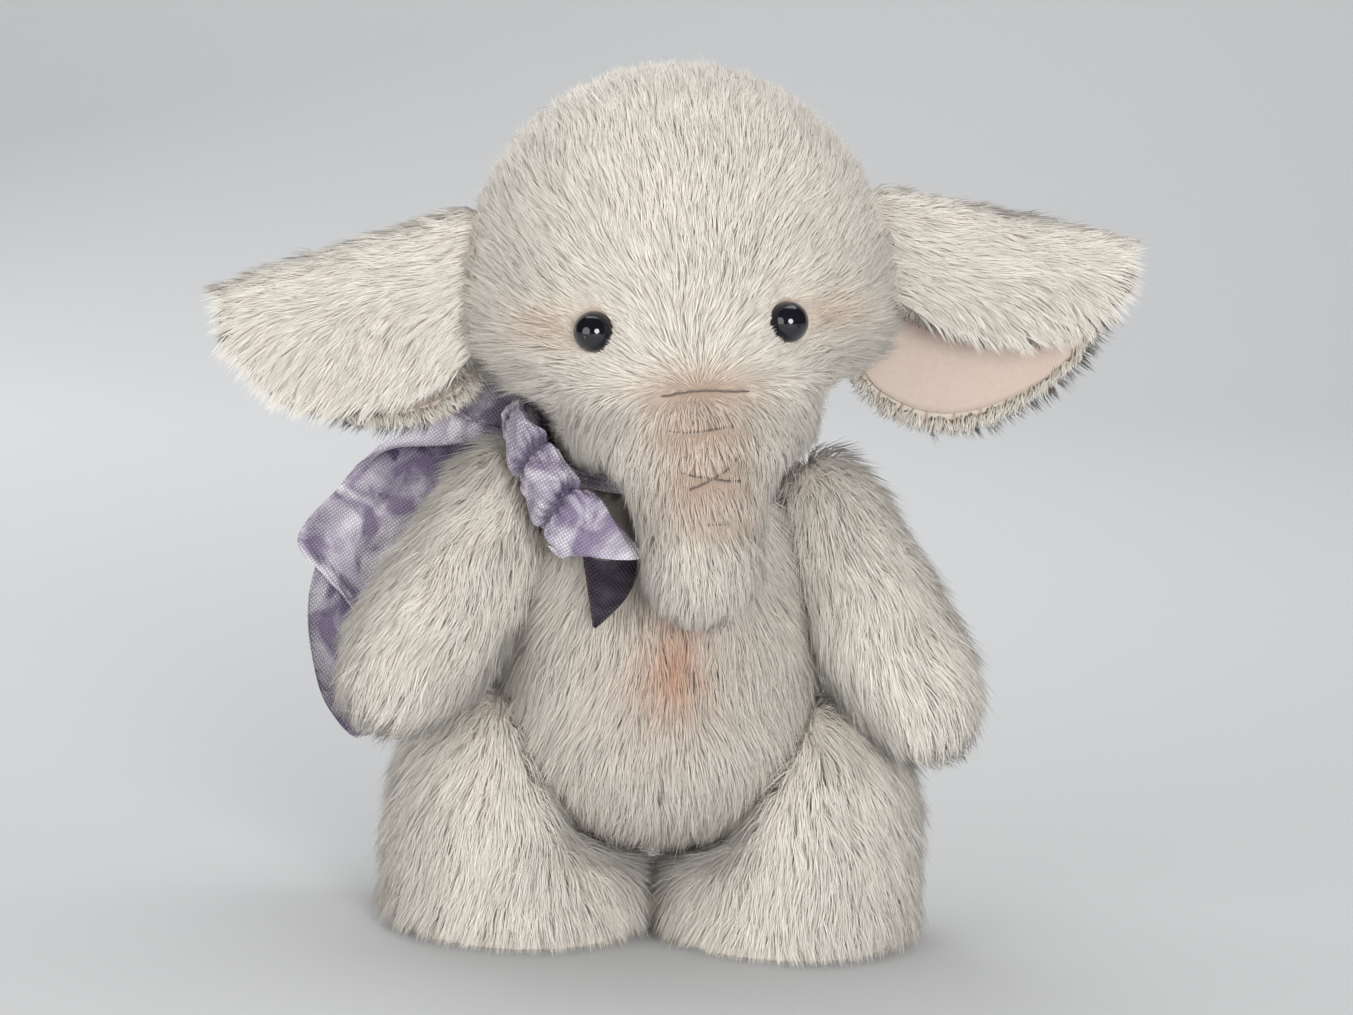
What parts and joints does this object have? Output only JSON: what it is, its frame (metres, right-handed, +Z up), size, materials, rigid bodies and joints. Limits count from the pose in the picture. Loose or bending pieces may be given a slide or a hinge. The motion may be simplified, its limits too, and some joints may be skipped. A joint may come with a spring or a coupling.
{
  "type": "jointed plush elephant",
  "caption": "Long-pile plush elephant with disc-jointed head, arms and legs, folded lined ears, hanging trunk, glass eyes and a silk ribbon round its neck, standing on round soles.",
  "frame": {"origin": "on the floor, midway between the ear tips and midway between the front of the trunk and the back of the head", "axes": "+Z up, front faces -Y, +X towards the toy's own left"},
  "size_m": [0.1773, 0.0918, 0.1726],
  "materials": {
    "pile_cloth": "long combed cream pile",
    "lining": "short napped pale peach cloth",
    "sole_cloth": "short napped cream cloth",
    "filling": "packed white wadding",
    "board": "plain pressed board",
    "steel": "zinc plated",
    "eye_glass": "polished black glass",
    "ribbon_silk": "hand-dyed lavender silk"
  },
  "bodies": {
    "torso": {"body_skin": "pile_cloth", "body_stuffing": "filling", "neck_body_disc": "board", "left_shoulder_body_disc": "board", "right_shoulder_body_disc": "board", "left_hip_body_disc": "board", "right_hip_body_disc": "board", "body_washers": "steel", "ribbon_band": "ribbon_silk", "ribbon_knot": "ribbon_silk", "ribbon_loop": "ribbon_silk", "ribbon_tail": "ribbon_silk"},
    "head": {"head_skin": "pile_cloth", "head_stuffing": "filling", "left_eye": "eye_glass", "right_eye": "eye_glass", "left_ear": "pile_cloth", "right_ear": "pile_cloth", "left_ear_lining": "lining", "right_ear_lining": "lining", "neck_head_disc": "board", "neck_head_washer": "steel", "neck_bolt": "steel", "neck_lock_nut": "steel"},
    "left_arm": {"left_arm_skin": "pile_cloth", "left_arm_stuffing": "filling", "left_arm_disc": "board", "left_arm_washer": "steel", "left_arm_bolt": "steel", "left_arm_lock_nut": "steel"},
    "right_arm": {"right_arm_skin": "pile_cloth", "right_arm_stuffing": "filling", "right_arm_disc": "board", "right_arm_washer": "steel", "right_arm_bolt": "steel", "right_arm_lock_nut": "steel"},
    "left_leg": {"left_leg_skin": "pile_cloth", "left_leg_stuffing": "filling", "left_leg_sole": "sole_cloth", "left_leg_disc": "board", "left_leg_washer": "steel", "left_leg_bolt": "steel", "left_leg_lock_nut": "steel"},
    "right_leg": {"right_leg_skin": "pile_cloth", "right_leg_stuffing": "filling", "right_leg_sole": "sole_cloth", "right_leg_disc": "board", "right_leg_washer": "steel", "right_leg_bolt": "steel", "right_leg_lock_nut": "steel"}
  },
  "joints": [
    {"name": "neck_swivel", "type": "hinge", "parent": "torso", "child": "head", "pos_m": [0, 0.0055, 0.093], "axis": [0, 0, 1], "range_deg": [-35, 30], "deforming": ["ribbon_tail"]},
    {"name": "left_shoulder", "type": "hinge", "parent": "torso", "child": "left_arm", "pos_m": [0.0235, 0.0055, 0.0795], "axis": [0.9063, 0, 0.4226], "range_deg": [-60, 80]},
    {"name": "right_shoulder", "type": "hinge", "parent": "torso", "child": "right_arm", "pos_m": [-0.0235, 0.0055, 0.0795], "axis": [-0.9063, 0, 0.4226], "range_deg": [-36, 70]},
    {"name": "left_hip", "type": "hinge", "parent": "torso", "child": "left_leg", "pos_m": [0.0225, 0.0055, 0.03], "axis": [0.9205, 0, -0.3907], "range_deg": [-60, 30]},
    {"name": "right_hip", "type": "hinge", "parent": "torso", "child": "right_leg", "pos_m": [-0.0225, 0.0055, 0.03], "axis": [-0.9205, 0, -0.3907], "range_deg": [-30, 60]}
  ]
}
